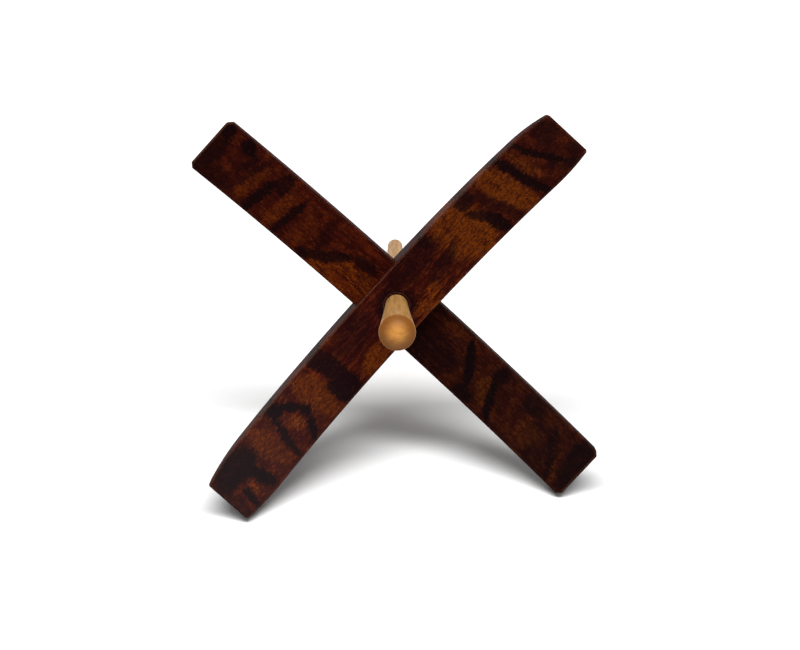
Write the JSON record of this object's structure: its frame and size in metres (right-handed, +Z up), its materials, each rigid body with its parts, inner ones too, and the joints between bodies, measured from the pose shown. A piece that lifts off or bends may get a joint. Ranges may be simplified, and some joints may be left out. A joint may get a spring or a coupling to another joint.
{
  "type": "drop spindle",
  "caption": "Turkish-type drop spindle: crossed bowed wooden arms, one through a slot in the other, on a tapered shaft that pulls out.",
  "frame": {"origin": "centre of the bounding box's bottom, on the surface that the spindle lies on", "axes": "+Z up; the shaft lies above the Y axis, its thick lower end towards -Y and raised, its thin upper end towards +Y and touching the surface"},
  "size_m": [0.0858, 0.1366, 0.0809],
  "materials": {
    "dark_wood": "satin oiled dark figured hardwood",
    "pale_wood": "satin oiled pale close-grained hardwood"
  },
  "bodies": {
    "whorl": {"outer_arm": "dark_wood", "inner_arm": "dark_wood"},
    "shaft": {"shaft": "pale_wood"}
  },
  "joints": [
    {"name": "shaft_pull", "type": "slide", "parent": "whorl", "child": "shaft", "axis": [0, -0.9473, 0.3204], "range_m": [0, 0.112]}
  ]
}
